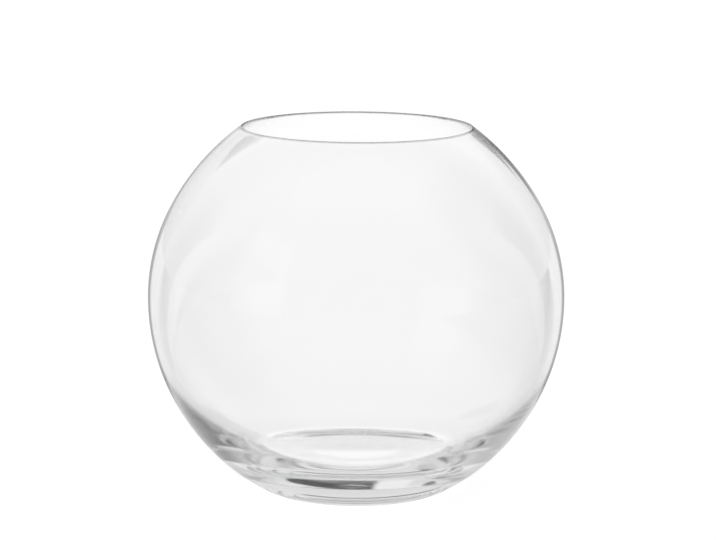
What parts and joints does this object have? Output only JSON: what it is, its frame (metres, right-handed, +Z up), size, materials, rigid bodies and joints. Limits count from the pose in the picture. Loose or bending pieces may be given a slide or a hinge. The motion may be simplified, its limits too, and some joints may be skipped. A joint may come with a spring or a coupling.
{
  "type": "rose bowl vase",
  "caption": "Round clear-glass rose bowl vase with a thin wall, a wide open mouth with a rounded rim and a heavy flat-standing base, for cut or floating flowers.",
  "frame": {"origin": "middle of the plane that the standing ring of the base rests on", "axes": "+Z up, along the bowl's axis of revolution, from the base to the mouth; X and Y are alike"},
  "size_m": [0.2, 0.2, 0.173],
  "materials": {
    "clear_glass": "clear, colourless, smooth and glossy all over"
  },
  "bodies": {
    "root": {"glass_bowl": "clear_glass"}
  },
  "joints": []
}
